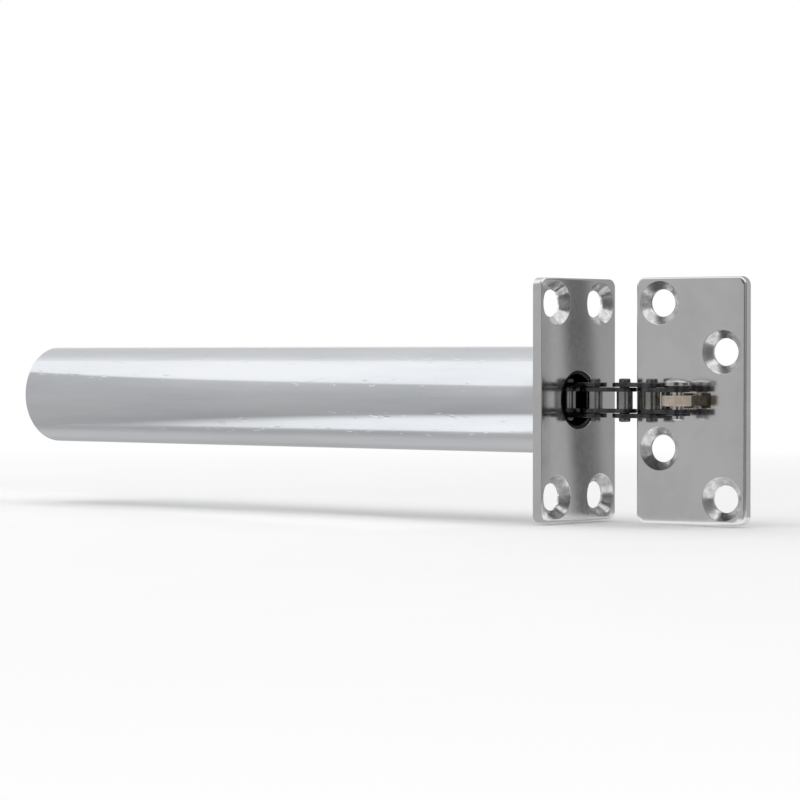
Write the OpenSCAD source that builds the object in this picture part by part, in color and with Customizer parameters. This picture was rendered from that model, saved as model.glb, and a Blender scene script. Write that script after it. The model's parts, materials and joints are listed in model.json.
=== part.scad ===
// Concealed chain-spring door closer.
// The tube is let into the edge of a door and the anchor plate is screwed to the frame.
// A short chain joins them, and a spring in the tube draws the chain in.
// Millimetres. Origin: centre of the body plate's seat face, on the tube's axis.
// +X leaves the door edge, +Z is up along the plates, and the tube runs along -X.

/* [Plates] */
// Height of both plates
plate_h = 57; // [52:0.5:70]
// Width of both plates
plate_w = 28.6; // [28:0.2:36]
// Thickness of both plates
plate_t = 2.5; // [2.2:0.1:4]
// Radius of the plate corners
plate_corner_r = 2; // [1:0.25:3]
// Rounding of the front edges
plate_edge_r = 0.5; // [0.3:0.1:0.8]
// Diameter of the screw holes
screw_d = 6.4; // [5:0.2:6.8]
// Diameter of the countersinks
csk_d = 10.2; // [8.4:0.2:10.6]
// Included angle of the countersinks
csk_angle = 90; // [82:1:100]
// Distance between screw columns on the body plate
body_screw_w = 16.6; // [15:0.2:17]
// Metal between the outer countersinks and the ends of both plates
screw_rim = 0.8; // [0.5:0.1:2]
// Distance between screw columns on the anchor plate
anchor_screw_w = 16.4; // [15:0.2:17.4]
// Height between the inner pair of anchor screws
anchor_inner_h = 22.4; // [20:0.2:28]

/* [Tube] */
// Outer diameter of the tube
tube_d = 25.4; // [25:0.1:27]
// Wall of the tube
tube_wall = 1.2; // [0.8:0.1:1.5]
// Length of the tube behind the body plate
tube_l = 175.5; // [165:0.5:200]
// Depth of the rolled lip at the closed end
lip_t = 0.8; // [0.6:0.1:1.2]
// Width of the rolled lip, inside the wall
lip_w = 2; // [1:0.25:3]
// Outside radius of the rolled end
end_r = 0.6; // [0.3:0.1:0.8]
// Thickness of the end cap
cap_t = 3.2; // [2:0.2:5]
// Diameter of the turned dimple in the end cap
cap_dimple_d = 5; // [3:0.5:8]

/* [Guide bush] */
// Radial room between the chain and the mouth
mouth_clearance = 0.77; // [0.5:0.01:1.2]
// Wall of the bush's nose
nose_wall = 0.9; // [0.5:0.1:1.2]
// Thickness of the bush's flange in the tube
flange_t = 3; // [2:0.5:5]
// Lead-in chamfer of the mouth
mouth_chamfer = 0.35; // [0.2:0.05:0.5]
// How far the nose lies under the plate's face
nose_recess = 0.2; // [0.1:0.05:0.4]

/* [Spring and piston] */
// Wire of the main spring
wire_d = 2.2; // [1.8:0.1:2.4]
// Turns of the main spring
spring_turns = 22; // [16:1:23]
// Room between the spring and the tube
spring_clearance = 0.8; // [0.5:0.1:1.2]
// Gap between the closed end turns
end_turn_gap = 0.6; // [0.5:0.1:1]
// Travel of the chain
stroke = 50; // [40:1:52]
// Thickness of the piston
piston_t = 8; // [7:0.5:12]
// Room between the piston and the tube
piston_clearance = 0.4; // [0.3:0.05:0.6]
// Height of the piston's spigot inside the spring
spigot_h = 4; // [2:0.5:6]
// Width of the guide ring
ring_w = 3; // [2:0.25:4]
// Depth of the guide ring's groove
ring_depth = 1.2; // [0.8:0.1:2]
// Length of the return buffer
buffer_l = 20; // [18:1:30]
// Wall of the return buffer
buffer_wall = 2.8; // [1.5:0.1:3]

/* [Draw rod] */
// Diameter of the draw rod
rod_d = 6; // [5:0.25:6.5]
// Across flats of both nuts
nut_af = 10; // [9:0.5:11]
// Height of the adjusting nut
nut_h = 5; // [4:0.2:6]
// Height of the stop nut
stop_nut_h = 3.2; // [2.4:0.2:4]
// Diameter of the thrust washer
washer_d = 13; // [12:0.25:13.5]
// Thickness of the thrust washer
washer_t = 1.2; // [0.8:0.1:2]
// Rod that stands out behind the stop nut
rod_end_l = 3; // [1:0.5:5]
// Radius of the rod's eye
eye_r = 3.4; // [3.1:0.1:4]

/* [Chain] */
// Pitch of the chain
pitch = 8; // [7.5:0.05:8.6]
// Height of a link plate at its ends
link_w = 5.7; // [5.2:0.1:6]
// Height of a link plate at its waist
link_waist = 4.6; // [4.2:0.1:5]
// Gap between the inner plates
inner_gap = 4; // [3.6:0.1:4.4]
// Thickness of an inner plate
inner_plate_t = 0.95; // [0.8:0.05:1.1]
// Thickness of an outer plate
outer_plate_t = 1; // [0.8:0.05:1.1]
// Gap between inner and outer plates
side_gap = 0.15; // [0.1:0.05:0.3]
// Diameter of the chain pins
pin_d = 2.3; // [1.8:0.1:2.4]
// Diameter of the rivet heads
rivet_d = 2.7; // [2.6:0.1:3]
// Height of the rivet heads
rivet_h = 0.95; // [0.6:0.05:1.1]
// Outer diameter of the bushes
bush_d = 3.8; // [3.2:0.1:4]
// Radial running clearance of pins in their bores
run_clearance = 0.05; // [0.02:0.01:0.08]

/* [Anchor] */
// Diameter of the anchor pin
anchor_pin_d = 3; // [2.6:0.1:3.2]
// Diameter of the anchor pin's domed head
head_d = 6.3; // [5.4:0.1:7]
// Height of the domed head
head_h = 1.75; // [1.2:0.05:2]
// Straight rim under the dome
head_rim = 0.95; // [0.3:0.05:1.1]
// Length of the anchor pin under the lower washer
pin_end_h = 1; // [0.5:0.1:1.5]
// Height of the washers riveted on the end link
boss_h = 0.5; // [0.3:0.05:0.8]
// Thickness of the tongue
tongue_t = 2.4; // [2:0.1:2.8]
// Radius of the tongue's eye
tongue_eye_r = 3.6; // [3.2:0.1:4]
// Width of the tongue
tongue_w = 5.8; // [5:0.1:6.2]
// Distance from the anchor pin to the cross pin
tongue_l = 9.8; // [9.6:0.1:16]
// Length of the tongue behind the cross pin
tongue_tail_l = 2.8; // [2.4:0.1:4]
// Distance from the cross pin's axis to the front of the tongue's head
tongue_head_back = 0.5; // [0.4:0.1:0.9]
// Width of the tongue's head
tongue_head_w = 9.6; // [8:0.2:10]
// Height of the tongue's head, more than the slot's
tongue_head_h = 6; // [5:0.2:8]
// Diameter of the cross pin
cross_d = 2.5; // [2:0.1:2.8]
// Length of the cross pin
cross_l = 9; // [7:0.5:14]
// Gap between the cross pin and the plate
cross_gap = 0.1; // [0.05:0.05:0.3]
// Length of the slot in the anchor plate
slot_w = 10.4; // [10:0.1:11]
// Room above and below the tongue in the slot
slot_clearance = 0.5; // [0.3:0.05:0.8]

/* [Rest pose] */
// How far the first free pin lies behind the seat face
first_pin_depth = 0.7; // [0.5:0.1:2]
// Direction of the first visible link
link_1_angle = -1; // [-4:0.5:4]
// Direction of the second visible link
link_2_angle = 7.5; // [-8:0.5:8]
// Direction of the third visible link
link_3_angle = -1.5; // [-3:0.5:8]
// Direction of the end link
end_link_angle = -6; // [-6.5:0.5:6]
// Direction of the tongue
tongue_angle = 97; // [94:0.5:112]
// Turn of the anchor plate about the vertical
anchor_yaw = 7.25; // [0:0.25:12]

/* [Hidden] */
$fn = 64;

// Cut past a face
over = 1;

// Small edge chamfer on pins, nuts and rods
edge_cut = 0.3;

// Height between the outer screws of both plates
outer_screw_h = plate_h - csk_d - 2 * screw_rim;

// Chain stack, from the chain's middle upwards
inner_z0 = inner_gap / 2;
inner_z1 = inner_z0 + inner_plate_t;
outer_z0 = inner_z1 + side_gap;
outer_z1 = outer_z0 + outer_plate_t;
pin_z = outer_z1 + rivet_h;
boss_z = inner_z1 + boss_h;
chain_r = max(norm([pin_z, rivet_d / 2]), norm([outer_z1, link_w / 2]));

// Tube and mouth
tube_r = tube_d / 2;
bore_r = tube_r - tube_wall;
mouth_r = chain_r + mouth_clearance;
nose_r = mouth_r + nose_wall;

// Stations along the tube, from the closed end to the mouth
cap_back_x = -tube_l + lip_t;
cap_front_x = cap_back_x + cap_t;
buffer_gap = 0.1;
piston_back_x = cap_front_x + buffer_l + buffer_gap;
piston_front_x = piston_back_x + piston_t;
spring_gap = 0.1;
spring_back_x = piston_front_x + spring_gap;
spring_front_x = -flange_t - spring_gap;
spring_l = spring_front_x - spring_back_x;
nut_front_x = piston_back_x - washer_t;
stop_front_x = nut_front_x - nut_h;
rod_end_x = stop_front_x - stop_nut_h - rod_end_l;

// Spring wound between the piston and the bush
spring_r = bore_r - spring_clearance - wire_d / 2;
end_pitch = wire_d + end_turn_gap;
free_pitch = (spring_l - wire_d - 2 * end_pitch) / (spring_turns - 2);
wire_sides = 6;
wire_steps = 10;
solid_l = (spring_turns + 1) * wire_d;

// Chain pins at rest, seen from above
function ahead(from, angle, length) = from + length * [cos(angle), sin(angle)];
p1 = [-first_pin_depth, 0];
p2 = ahead(p1, link_1_angle, pitch);
p3 = ahead(p2, link_2_angle, pitch);
p4 = ahead(p3, link_3_angle, pitch);
p5 = ahead(p4, end_link_angle, pitch);
p6 = ahead(p5, tongue_angle, tongue_l);

// The tail inside the tube has pairs of links, and its eye stays behind the bush
tail_pairs = ceil((stroke + flange_t + eye_r) / (2 * pitch));
eye_pin_x = p1.x - 2 * tail_pairs * pitch;
eye_z = outer_z0 - side_gap;

// The anchor plate stands in front of the cross pin
anchor_back = p6 + (cross_gap + cross_d / 2) * [sin(anchor_yaw), -cos(anchor_yaw)];

// Round waist that meets both round ends of a link plate
link_r = link_w / 2;
waist_half = link_waist / 2;
waist_r = (pitch * pitch / 4 + waist_half * waist_half - link_r * link_r) / (link_w - link_waist);
waist_x = pitch / 2 * link_r / (waist_r + link_r);
waist_y = (waist_half + waist_r) * link_r / (waist_r + link_r);

chrome = "silver";
plated = "lightgray";
dark_steel = "dimgray";
spring_steel = "gray";
tan_brass = "tan";
rubber = "black";
nylon = "ivory";

// Shapes that repeat

// Turns a profile drawn as radius and length about the tube's axis
module about_x() {
    rotate([0, 90, 0])
        rotate_extrude()
            children();
}

// Ring about the tube's axis, from x0 to x1
module ring_x(x0, x1, outer_r, inner_r) {
    about_x()
        translate([inner_r, x0])
            square([outer_r - inner_r, x1 - x0]);
}

// Rectangle with round corners
module rounded_rectangle(w, h, r) {
    square([w, h - 2 * r], center = true);
    square([w - 2 * r, h], center = true);
    for (x = [-1, 1], y = [-1, 1])
        translate([x * (w / 2 - r), y * (h / 2 - r)])
            circle(r);
}

// Cross-section of a plate whose front edges are rounded
module plate_section(w) {
    translate([-w / 2, 0])
        square([w, plate_t - plate_edge_r]);
    translate([-w / 2 + plate_edge_r, 0])
        square([w - 2 * plate_edge_r, plate_t]);
    for (x = [-1, 1])
        translate([x * (w / 2 - plate_edge_r), plate_t - plate_edge_r])
            circle(plate_edge_r);
}

// Plate in its own frame: width along X, height along Y, face up
module blank_plate() {
    intersection() {
        linear_extrude(plate_t)
            rounded_rectangle(plate_w, plate_h, plate_corner_r);
        rotate([90, 0, 0])
            linear_extrude(plate_h + over, center = true)
                plate_section(plate_w);
        rotate([90, 0, 90])
            linear_extrude(plate_w + over, center = true)
                plate_section(plate_h);
    }
}

// Screw hole with its countersink, cut from the plate's face down
module screw_hole() {
    csk_h = (csk_d - screw_d) / 2 / tan(csk_angle / 2);
    translate([0, 0, -over])
        cylinder(h = plate_t + 2 * over, d = screw_d);
    translate([0, 0, plate_t - csk_h])
        cylinder(h = csk_h, d1 = screw_d, d2 = csk_d);
    translate([0, 0, plate_t])
        cylinder(h = over, d = csk_d);
}

// Outline of a link plate, from one pin to the next
module link_outline() {
    circle(link_r);
    translate([pitch, 0])
        circle(link_r);
    difference() {
        translate([waist_x, -waist_y])
            square([pitch - 2 * waist_x, 2 * waist_y]);
        for (y = [-1, 1])
            translate([pitch / 2, y * (waist_half + waist_r)])
                circle(waist_r, $fn = 128);
    }
}

// Link plate lying from z up, with the two holes it needs
module link_plate(z, t, near_d, far_d) {
    translate([0, 0, z])
        linear_extrude(t)
            difference() {
                link_outline();
                circle(d = near_d);
                translate([pitch, 0])
                    circle(d = far_d);
            }
}

module inner_plate(side) {
    mirror([0, 0, side < 0 ? 1 : 0])
        link_plate(inner_z0, inner_plate_t, bush_d, bush_d);
}

module outer_plate(side) {
    mirror([0, 0, side < 0 ? 1 : 0])
        link_plate(outer_z0, outer_plate_t, pin_d, pin_d);
}

// Pin riveted over both outer plates
module chain_pin() {
    rotate_extrude()
        polygon([
            [0, -pin_z],
            [rivet_d / 2 - edge_cut, -pin_z],
            [rivet_d / 2, -pin_z + edge_cut],
            [rivet_d / 2, -outer_z1],
            [pin_d / 2, -outer_z1],
            [pin_d / 2, outer_z1],
            [rivet_d / 2, outer_z1],
            [rivet_d / 2, pin_z - edge_cut],
            [rivet_d / 2 - edge_cut, pin_z],
            [0, pin_z]
        ]);
}

// Bush pressed into both inner plates
module chain_bush() {
    difference() {
        cylinder(h = 2 * inner_z1, d = bush_d, center = true);
        cylinder(h = 2 * inner_z1 + over, d = pin_d + 2 * run_clearance, center = true);
    }
}

module at_link(pin, angle) {
    translate([pin.x, pin.y, 0])
        rotate([0, 0, angle])
            children();
}

module at_pin(pin) {
    translate([pin.x, pin.y, 0])
        children();
}

// Hexagon nut on the draw rod, from x0 back to x1
module hex_nut(x0, h) {
    translate([x0 - h, 0, 0])
        rotate([0, 90, 0])
            difference() {
                cylinder(h = h, d = nut_af / cos(30), $fn = 6);
                translate([0, 0, -over])
                    cylinder(h = h + 2 * over, d = rod_d);
            }
}

// Housing

module cylinder_tube() {
    color(plated)
        about_x()
            difference() {
                union() {
                    translate([bore_r - lip_w, -tube_l])
                        square([tube_r - end_r - bore_r + lip_w, tube_l]);
                    translate([bore_r - lip_w, -tube_l + end_r])
                        square([tube_r - bore_r + lip_w, tube_l - end_r]);
                    translate([tube_r - end_r, -tube_l + end_r])
                        circle(end_r);
                }
                translate([0, cap_back_x])
                    square([bore_r, tube_l]);
            }
}

module body_plate() {
    color(chrome)
        rotate([90, 0, 90])
            difference() {
                blank_plate();
                translate([0, 0, -over])
                    cylinder(h = plate_t + 2 * over, r = nose_r);
                for (x = [-1, 1], y = [-1, 1])
                    translate([x * body_screw_w / 2, y * outer_screw_h / 2, 0])
                        screw_hole();
            }
}

module guide_bush() {
    nose_x = plate_t - nose_recess;
    color(dark_steel)
        about_x()
            polygon([
                [mouth_r + mouth_chamfer, -flange_t],
                [bore_r, -flange_t],
                [bore_r, 0],
                [nose_r, 0],
                [nose_r, nose_x],
                [mouth_r + mouth_chamfer, nose_x],
                [mouth_r, nose_x - mouth_chamfer],
                [mouth_r, -flange_t + mouth_chamfer]
            ]);
}

module end_cap() {
    dimple_h = cap_dimple_d / 4;
    color(plated)
        difference() {
            ring_x(cap_back_x, cap_front_x, bore_r, 0);
            translate([cap_back_x, 0, 0])
                rotate([0, 90, 0])
                    cylinder(h = dimple_h, d1 = cap_dimple_d, d2 = 0);
        }
}

module return_buffer() {
    outer_r = bore_r - piston_clearance;
    color(rubber)
        ring_x(cap_front_x, cap_front_x + buffer_l, outer_r, outer_r - buffer_wall);
}

// Middle of the wire after so many turns, with closed turns at both ends
function spring_x(turns) =
    spring_back_x + wire_d / 2
    + end_pitch * min(turns, 1)
    + free_pitch * max(0, min(turns, spring_turns - 1) - 1)
    + end_pitch * max(0, turns - spring_turns + 1);

function wire_middle(turns) =
    [spring_x(turns), spring_r * cos(360 * turns), spring_r * sin(360 * turns)];

// Ring of points about the wire, across the coil and along the tube
function wire_ring(turns) = [
    for (k = [0 : wire_sides - 1])
        let (
            a = 360 * k / wire_sides,
            out = wire_d / 2 * cos(a),
            along = wire_d / 2 * sin(a)
        )
        [
            spring_x(turns) + along,
            (spring_r + out) * cos(360 * turns),
            (spring_r + out) * sin(360 * turns)
        ]
];

module main_spring() {
    rings = spring_turns * wire_steps;
    points = [for (i = [0 : rings]) each wire_ring(i / wire_steps)];
    sides = [
        for (i = [0 : rings - 1], k = [0 : wire_sides - 1])
            let (
                a = i * wire_sides + k,
                b = i * wire_sides + (k + 1) % wire_sides,
                c = a + wire_sides,
                d = b + wire_sides
            )
            each [[a, b, d], [a, d, c]]
    ];
    last = rings * wire_sides;
    first_face = [for (k = [1 : wire_sides - 2]) [0, k + 1, k]];
    last_face = [for (k = [1 : wire_sides - 2]) [last, last + k, last + k + 1]];
    color(spring_steel)
        polyhedron(points, concat(sides, first_face, last_face));
    turn_gaps = [
        for (i = [0 : rings - wire_steps])
            norm(wire_middle(i / wire_steps + 1) - wire_middle(i / wire_steps)) - wire_d
    ];
    echo(spring_least_gap = min(turn_gaps), spring_spare_at_full_stroke = spring_l - stroke - solid_l);
}

// Piston

module piston() {
    spigot_r = spring_r - wire_d / 2 - spring_clearance;
    body_r = bore_r - piston_clearance;
    ring_x0 = piston_back_x + (piston_t - ring_w) / 2;
    color(plated)
        about_x()
            difference() {
                union() {
                    translate([rod_d / 2, piston_back_x])
                        square([body_r - rod_d / 2, piston_t]);
                    translate([rod_d / 2, piston_front_x])
                        square([spigot_r - rod_d / 2, spigot_h]);
                }
                translate([body_r - ring_depth, ring_x0])
                    square([ring_depth + over, ring_w]);
            }
}

module piston_ring() {
    body_r = bore_r - piston_clearance;
    ring_x0 = piston_back_x + (piston_t - ring_w) / 2;
    color(nylon)
        ring_x(ring_x0, ring_x0 + ring_w, bore_r - run_clearance, body_r - ring_depth);
}

module thrust_washer() {
    color(plated)
        ring_x(nut_front_x, piston_back_x, washer_d / 2, rod_d / 2);
}

module adjusting_nut() {
    color(plated)
        hex_nut(nut_front_x, nut_h);
}

// Draw rod and the chain's tail

module draw_rod() {
    color(dark_steel)
        difference() {
            union() {
                translate([eye_pin_x, 0, 0])
                    cylinder(h = 2 * eye_z, r = eye_r, center = true);
                about_x()
                    polygon([
                        [0, rod_end_x],
                        [rod_d / 2 - edge_cut, rod_end_x],
                        [rod_d / 2, rod_end_x + edge_cut],
                        [rod_d / 2, eye_pin_x],
                        [0, eye_pin_x]
                    ]);
            }
            translate([eye_pin_x, 0, 0])
                cylinder(h = 2 * eye_z + rod_d, d = pin_d + 2 * run_clearance, center = true);
            for (side = [-1, 1])
                translate([eye_pin_x, 0, side * (eye_z + rod_d / 2)])
                    cube([4 * eye_r, 4 * eye_r, rod_d], center = true);
        }
}

module stop_nut() {
    color(plated)
        hex_nut(stop_front_x, stop_nut_h);
}

// Inner links of the tail lie at even places, counted from the rod's eye
module tail_inner_plates() {
    color(dark_steel)
        for (i = [0 : tail_pairs - 1], side = [-1, 1])
            translate([eye_pin_x + (2 * i + 1) * pitch, 0, 0])
                inner_plate(side);
}

module tail_outer_plates() {
    color(dark_steel)
        for (i = [0 : tail_pairs - 1], side = [-1, 1])
            translate([eye_pin_x + 2 * i * pitch, 0, 0])
                outer_plate(side);
}

module tail_bushes() {
    color(dark_steel)
        for (i = [1 : 2 * tail_pairs])
            translate([eye_pin_x + i * pitch, 0, 0])
                chain_bush();
}

module tail_pins() {
    color(dark_steel)
        for (i = [0 : 2 * tail_pairs - 1])
            translate([eye_pin_x + i * pitch, 0, 0])
                chain_pin();
}

// Free links, from the mouth to the anchor

module link_1_upper_plate() {
    color(dark_steel)
        at_link(p1, link_1_angle)
            outer_plate(1);
}

module link_1_lower_plate() {
    color(dark_steel)
        at_link(p1, link_1_angle)
            outer_plate(-1);
}

module link_1_pins() {
    color(dark_steel)
        for (pin = [p1, p2])
            at_pin(pin)
                chain_pin();
}

module link_2_upper_plate() {
    color(dark_steel)
        at_link(p2, link_2_angle)
            inner_plate(1);
}

module link_2_lower_plate() {
    color(dark_steel)
        at_link(p2, link_2_angle)
            inner_plate(-1);
}

module link_2_bushes() {
    color(dark_steel)
        for (pin = [p2, p3])
            at_pin(pin)
                chain_bush();
}

module link_3_upper_plate() {
    color(dark_steel)
        at_link(p3, link_3_angle)
            outer_plate(1);
}

module link_3_lower_plate() {
    color(dark_steel)
        at_link(p3, link_3_angle)
            outer_plate(-1);
}

module link_3_pins() {
    color(dark_steel)
        for (pin = [p3, p4])
            at_pin(pin)
                chain_pin();
}

// The end link has a bush at its near end and the anchor pin at its far end
module end_link_plate(side) {
    at_link(p4, end_link_angle)
        mirror([0, 0, side < 0 ? 1 : 0])
            link_plate(inner_z0, inner_plate_t, bush_d, anchor_pin_d);
}

module end_link_upper_plate() {
    color(dark_steel)
        end_link_plate(1);
}

module end_link_lower_plate() {
    color(dark_steel)
        end_link_plate(-1);
}

module end_link_bush() {
    color(dark_steel)
        at_pin(p4)
            chain_bush();
}

module end_link_washers() {
    color(dark_steel)
        at_pin(p5)
            for (side = [-1, 1])
                mirror([0, 0, side < 0 ? 1 : 0])
                    translate([0, 0, inner_z1])
                        difference() {
                            cylinder(h = boss_h, r = link_r);
                            translate([0, 0, -over])
                                cylinder(h = boss_h + 2 * over, d = anchor_pin_d);
                        }
}

// Pin with a domed head on top and a chamfered end below
module anchor_pin() {
    dome_h = head_h - head_rim;
    dome_r = (head_d * head_d / 4 + dome_h * dome_h) / (2 * dome_h);
    end_z = boss_z + pin_end_h;
    color(plated)
        at_pin(p5) {
            rotate_extrude()
                polygon([
                    [0, -end_z],
                    [anchor_pin_d / 2 - edge_cut, -end_z],
                    [anchor_pin_d / 2, -end_z + edge_cut],
                    [anchor_pin_d / 2, boss_z],
                    [0, boss_z]
                ]);
            rotate_extrude()
                intersection() {
                    translate([0, boss_z])
                        square([head_d / 2, head_h]);
                    translate([0, boss_z + head_h - dome_r])
                        circle(dome_r, $fn = 128);
                }
        }
}

// Anchor

// Flat tongue whose head stays behind the plate, with a bore for each pin
module anchor_tongue() {
    head_l = tongue_tail_l - tongue_head_back;
    color(tan_brass)
        at_link(p5, tongue_angle)
            difference() {
                union() {
                    linear_extrude(tongue_t, center = true) {
                        circle(tongue_eye_r);
                        translate([0, -tongue_w / 2])
                            square([tongue_l + tongue_head_back + head_l / 2, tongue_w]);
                    }
                    translate([tongue_l + tongue_head_back + head_l / 2, 0, 0])
                        linear_extrude(tongue_head_h, center = true)
                            rounded_rectangle(head_l, tongue_head_w, plate_edge_r);
                }
                cylinder(h = tongue_t + over, d = anchor_pin_d + 2 * run_clearance, center = true);
                translate([tongue_l, 0, 0])
                    cylinder(h = tongue_head_h + over, d = cross_d, center = true);
            }
}

module tongue_cross_pin() {
    color(plated)
        at_pin(p6)
            rotate_extrude()
                polygon([
                    [0, -cross_l / 2],
                    [cross_d / 2 - edge_cut, -cross_l / 2],
                    [cross_d / 2, -cross_l / 2 + edge_cut],
                    [cross_d / 2, cross_l / 2 - edge_cut],
                    [cross_d / 2 - edge_cut, cross_l / 2],
                    [0, cross_l / 2]
                ]);
}

module anchor_plate() {
    slot_h = tongue_t + 2 * slot_clearance;
    color(chrome)
        translate([anchor_back.x, anchor_back.y, 0])
            rotate([90, 0, anchor_yaw])
                difference() {
                    blank_plate();
                    translate([-slot_w / 2, -slot_h / 2, -over])
                        cube([slot_w, slot_h, plate_t + 2 * over]);
                    for (side = [-1, 1]) {
                        translate([-side * anchor_screw_w / 2, side * outer_screw_h / 2, 0])
                            screw_hole();
                        translate([side * anchor_screw_w / 2, side * anchor_inner_h / 2, 0])
                            screw_hole();
                    }
                }
}

cylinder_tube();
body_plate();
guide_bush();
end_cap();
return_buffer();
main_spring();
piston();
piston_ring();
thrust_washer();
adjusting_nut();
draw_rod();
stop_nut();
tail_inner_plates();
tail_outer_plates();
tail_bushes();
tail_pins();
link_1_upper_plate();
link_1_lower_plate();
link_1_pins();
link_2_upper_plate();
link_2_lower_plate();
link_2_bushes();
link_3_upper_plate();
link_3_lower_plate();
link_3_pins();
end_link_upper_plate();
end_link_lower_plate();
end_link_bush();
end_link_washers();
anchor_pin();
anchor_tongue();
tongue_cross_pin();
anchor_plate();
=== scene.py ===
"""Looks of a concealed chain-spring door closer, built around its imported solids.

Plates, tube and chain take their places from the frame: boxes of the solids, positions of the joints, and the
screw patterns of the mounts. Lengths are metres, apart from the studio's cards, which are in millimetres.
"""

import json
import logging
import math
from abc import ABC, abstractmethod
from dataclasses import dataclass, field
from enum import Enum
from typing import Callable, Iterable, Optional, Sequence

import bmesh
import bpy
from mathutils import Matrix, Vector


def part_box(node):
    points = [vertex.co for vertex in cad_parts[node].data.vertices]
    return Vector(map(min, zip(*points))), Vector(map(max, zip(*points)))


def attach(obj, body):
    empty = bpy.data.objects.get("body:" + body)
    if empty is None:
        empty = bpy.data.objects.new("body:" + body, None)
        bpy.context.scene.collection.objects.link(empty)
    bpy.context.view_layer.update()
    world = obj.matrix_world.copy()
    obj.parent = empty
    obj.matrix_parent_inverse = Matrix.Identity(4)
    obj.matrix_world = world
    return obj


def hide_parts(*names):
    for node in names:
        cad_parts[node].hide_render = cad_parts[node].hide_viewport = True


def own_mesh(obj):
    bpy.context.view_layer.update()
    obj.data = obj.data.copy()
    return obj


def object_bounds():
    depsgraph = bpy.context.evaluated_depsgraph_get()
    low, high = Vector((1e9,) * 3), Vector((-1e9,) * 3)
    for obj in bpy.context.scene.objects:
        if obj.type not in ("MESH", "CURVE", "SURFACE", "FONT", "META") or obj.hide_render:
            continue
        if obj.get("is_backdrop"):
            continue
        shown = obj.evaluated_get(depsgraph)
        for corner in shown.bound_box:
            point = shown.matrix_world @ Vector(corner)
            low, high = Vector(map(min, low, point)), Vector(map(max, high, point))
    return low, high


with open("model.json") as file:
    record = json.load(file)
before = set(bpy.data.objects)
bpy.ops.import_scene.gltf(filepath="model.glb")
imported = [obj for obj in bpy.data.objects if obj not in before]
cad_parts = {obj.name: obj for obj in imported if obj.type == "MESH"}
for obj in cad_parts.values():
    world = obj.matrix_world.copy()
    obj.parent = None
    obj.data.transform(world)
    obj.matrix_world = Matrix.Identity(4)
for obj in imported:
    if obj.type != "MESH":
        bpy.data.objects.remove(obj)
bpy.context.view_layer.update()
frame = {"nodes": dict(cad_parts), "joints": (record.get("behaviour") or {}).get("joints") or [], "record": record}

MM = 0.001
SHARP_ANGLE = math.radians(32)
ANCHOR_PIN_RADIUS = 1.5 * MM
BORE_CLEARANCE = 0.05 * MM

Point = tuple[float, float]
Loop = list[Point]
Ring = tuple[Loop, float]
Point3 = tuple[float, float, float]
Colour = tuple[float, float, float]
Stops = Sequence[Point]
Mesh = bmesh.types.BMesh
Vert = bmesh.types.BMVert
Socket = bpy.types.NodeSocket
Adder = Callable[[Mesh, Vector], None]

log = logging.getLogger("door_closer")


class Side(Enum):
    """Upper or lower plate of a chain link."""

    UPPER = 1
    LOWER = -1


class LinkKind(Enum):
    """How a chain link is made: riveted outside, bushed inside, or the last one with the anchor pin."""

    OUTER = "outer"
    INNER = "inner"
    END = "end"


class RayKind(Enum):
    """Rays that see the white studio as it is, by their Light Path output."""

    CAMERA = "Is Camera Ray"
    GLOSSY = "Is Glossy Ray"
    TRANSMISSION = "Is Transmission Ray"


# Outlines, drawn anticlockwise


def circle(radius: float, count: int, centre: Point = (0.0, 0.0)) -> Loop:
    """Points of a circle.

    Args:
        radius: radius of the circle.
        count: number of points.
        centre: middle of the circle.

    Returns:
        The points, anticlockwise.
    """
    turn = math.tau / count
    return [
        (centre[0] + radius * math.cos(k * turn), centre[1] + radius * math.sin(k * turn))
        for k in range(count)
    ]


def arc(centre: Point, radius: float, start: float, end: float, steps: int) -> Loop:
    """Points of an arc, both ends included.

    Args:
        centre: middle of the arc.
        radius: radius of the arc.
        start: first angle in radians.
        end: last angle in radians.
        steps: number of stretches.

    Returns:
        The points from start to end.
    """
    angles = [start + (end - start) * k / steps for k in range(steps + 1)]
    return [(centre[0] + radius * math.cos(a), centre[1] + radius * math.sin(a)) for a in angles]


def rounded_rectangle(width: float, height: float, radius: float, steps: int = 10) -> Loop:
    """Rectangle with round corners about the origin.

    Args:
        width: size along the first axis.
        height: size along the second axis.
        radius: corner radius.
        steps: stretches in each corner.

    Returns:
        The points, anticlockwise.
    """
    across = width / 2 - radius
    up = height / 2 - radius
    corners = [(across, up), (-across, up), (-across, -up), (across, -up)]
    quarter = math.pi / 2
    points: Loop = []
    for k, corner in enumerate(corners):
        points += arc(corner, radius, k * quarter, (k + 1) * quarter, steps)
    return points


def moved(outline: Loop, inset: float) -> Loop:
    """Outline drawn in by a small distance, or out where the distance is negative.

    Args:
        outline: points, anticlockwise.
        inset: distance towards the inside.

    Returns:
        As many points as the outline has.
    """
    count = len(outline)
    points: Loop = []
    for k in range(count):
        before = Vector(outline[k - 1])
        here = Vector(outline[k])
        after = Vector(outline[(k + 1) % count])
        first = (here - before).normalized()
        second = (after - here).normalized()
        normal_a = Vector((-first.y, first.x))
        normal_b = Vector((-second.y, second.x))
        mitre = (normal_a + normal_b) / (1 + normal_a.dot(normal_b))
        points.append(tuple(here + inset * mitre))
    return points


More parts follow.
